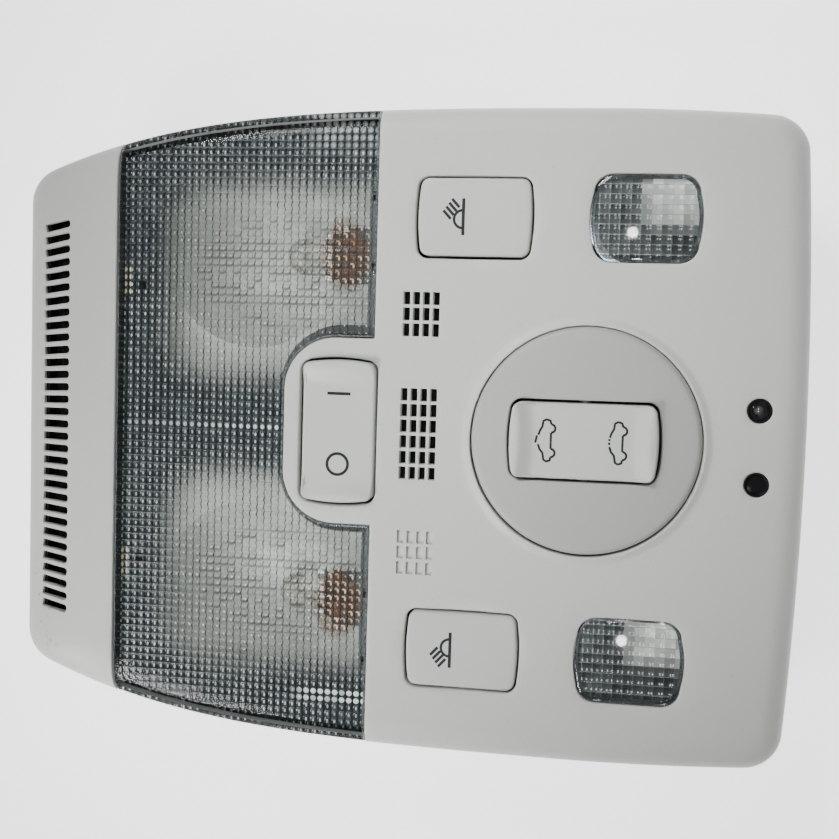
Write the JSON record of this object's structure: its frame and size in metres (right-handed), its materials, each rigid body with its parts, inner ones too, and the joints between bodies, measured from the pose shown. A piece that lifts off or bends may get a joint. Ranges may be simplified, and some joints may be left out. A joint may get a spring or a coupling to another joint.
{
  "type": "car dome light",
  "caption": "Overhead car dome light with a prismatic main lens, dome and roof rocker switches, reading lamps with push buttons and a fanned row of vents.",
  "frame": {"origin": "bottom centre of the bounding box, on the flat back of the rear housing", "axes": "+X from the vent end to the end with the two round eyes, +Y towards the upper reading lamp of the picture, +Z out of the roof lining into the cabin"},
  "size_m": [0.2062, 0.168, 0.0464],
  "materials": {
    "trim": "fine grain",
    "cap": "satin",
    "mark": "printed",
    "lens": "clear, prismatic",
    "smoke": "clear, faceted",
    "carrier": "satin",
    "bowl": "silver lacquer",
    "mirror": "vapour-plated",
    "bulb": "clear",
    "holder": "amber brown",
    "ivory": "natural",
    "brass": "stamped",
    "steel": "zinc-plated",
    "housing": "fine spark finish",
    "black": "satin",
    "gloss": "polished",
    "board": "solder mask",
    "rubber": "soft",
    "foam": "open-cell foam",
    "led": "clear epoxy"
  },
  "bodies": {
    "unit": {"trim_panel": "trim", "main_lens": "lens", "lens_clips": "brass", "clip_pads": "black", "lamp_carrier": "carrier", "dome_bowl_upper": "bowl", "dome_bowl_lower": "bowl", "dome_bulb_upper": "bulb", "dome_bulb_lower": "bulb", "dome_holder_upper": "holder", "dome_holder_lower": "holder", "contact_strips": "brass", "rear_housing": "housing", "housing_screws": "steel", "mounting_clips": "steel", "circuit_board": "board", "board_screws": "steel", "connector_housing": "black", "connector_pins": "brass", "dome_switch_body": "housing", "dome_rocker_pin": "steel", "roof_switch_disc": "cap", "roof_switch_body": "housing", "roof_rocker_pin": "steel", "reading_switch_upper": "housing", "reading_switch_lower": "housing", "reading_lens_upper": "smoke", "reading_lens_lower": "smoke", "reading_bowl_upper": "mirror", "reading_bowl_lower": "mirror", "reading_bulb_upper": "bulb", "reading_bulb_lower": "bulb", "reading_holder_upper": "ivory", "reading_holder_lower": "ivory", "mic_carrier": "housing", "microphones": "steel", "mic_boots": "rubber", "mic_foam": "foam", "eye_tubes": "black", "status_led": "led", "sensor_eye": "gloss"},
    "dome_switch": {"dome_rocker": "cap", "dome_rocker_marks": "mark"},
    "roof_switch": {"roof_rocker": "cap", "roof_rocker_marks": "mark"},
    "upper_button": {"reading_button_upper": "cap", "button_marks_upper": "mark"},
    "lower_button": {"reading_button_lower": "cap", "button_marks_lower": "mark"}
  },
  "joints": [
    {"name": "dome_rocker_tilt", "type": "hinge", "parent": "unit", "child": "dome_switch", "pos_m": [-0.01525, 0, 0.037], "axis": [1, 0, 0], "range_deg": [-5, 5]},
    {"name": "roof_rocker_tilt", "type": "hinge", "parent": "unit", "child": "roof_switch", "pos_m": [0.04805, 0, 0.039], "axis": [0, 1, 0], "range_deg": [-5, 5], "stiffness_Nm_per_rad": 0.3},
    {"name": "upper_button_press", "type": "slide", "parent": "unit", "child": "upper_button", "axis": [0, 0, -1], "range_m": [0, 0.0018], "stiffness_N_per_m": 600},
    {"name": "lower_button_press", "type": "slide", "parent": "unit", "child": "lower_button", "axis": [0, 0, -1], "range_m": [0, 0.0018], "stiffness_N_per_m": 600}
  ]
}
